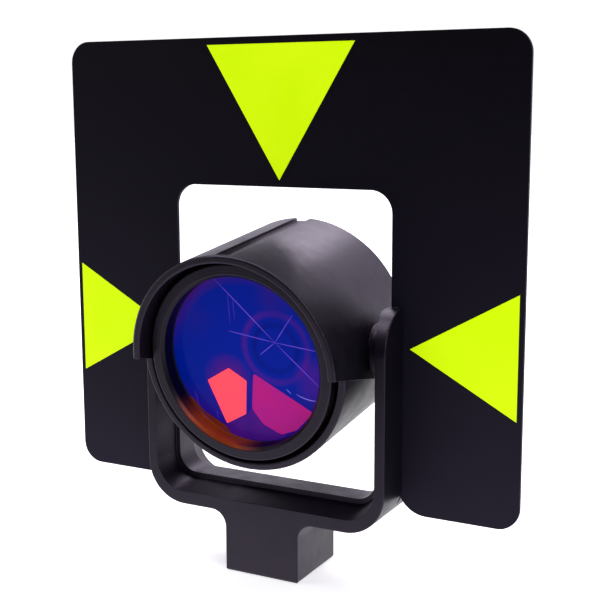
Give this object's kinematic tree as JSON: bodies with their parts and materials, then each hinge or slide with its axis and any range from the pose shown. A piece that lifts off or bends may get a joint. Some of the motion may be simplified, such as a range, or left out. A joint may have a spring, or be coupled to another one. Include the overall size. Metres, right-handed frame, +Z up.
{
  "type": "survey prism",
  "caption": "Tilting survey prism in a hooded round housing, held by a U-shaped fork with a stub socket and push-button lock, in front of a black target plate with yellow triangles.",
  "frame": {"origin": "centre of the socket mouth, on the stem's lower face", "axes": "X is the tilt axis, -Y is the side that the prism looks to, +Z is up along the socket"},
  "size_m": [0.183, 0.0775, 0.1943],
  "materials": {
    "moulded_black": "satin black glass-filled nylon, fine moulded grain",
    "button_black": "ribbed black plastic",
    "bare_steel": "turned stainless steel",
    "bush_bronze": "sintered bronze",
    "washer_fibre": "red-brown fibre",
    "coated_glass": "polished glass with a blue reflection-reducing film",
    "seal_rubber": "black rubber",
    "anodised_black": "black anodised, fine turning marks",
    "plate_black": "matte black with a light moulded texture",
    "film_yellow": "fluorescent yellow-green self-adhesive film"
  },
  "bodies": {
    "holder": {"fork_yoke": "moulded_black", "socket_sleeve": "bare_steel", "lock_cover": "moulded_black", "lock_cover_screws": "bare_steel", "lock_springs": "bare_steel", "pivot_bush_left": "bush_bronze", "pivot_bush_right": "bush_bronze", "friction_washer_left": "washer_fibre", "friction_washer_right": "washer_fibre"},
    "stub_lock": {"lock_slide": "bare_steel", "lock_button": "button_black"},
    "prism_head": {"hood": "moulded_black", "pivot_pin_left": "bare_steel", "pivot_pin_right": "bare_steel", "corner_cube_prism": "coated_glass", "prism_cushions": "seal_rubber", "front_ring": "anodised_black", "front_seal": "seal_rubber", "prism_can": "anodised_black", "can_locking_ring": "anodised_black", "back_cover": "anodised_black", "back_cover_screws": "bare_steel"},
    "target": {"target_plate": "plate_black", "target_triangle_top": "film_yellow", "target_triangle_left": "film_yellow", "target_triangle_right": "film_yellow"}
  },
  "joints": [
    {"name": "head_tilt", "type": "hinge", "parent": "holder", "child": "prism_head", "pos_m": [0, 0, 0.086], "axis": [1, 0, 0], "continuous": true},
    {"name": "lock_press", "type": "slide", "parent": "holder", "child": "stub_lock", "axis": [0, -1, 0], "range_m": [0, 0.002], "stiffness_N_per_m": 1500, "springref_m": -0.002, "deforming": ["lock_springs"]},
    {"name": "target_lift", "type": "slide", "parent": "holder", "child": "target", "axis": [0, 0, 1], "range_m": [0, 0.08]}
  ]
}
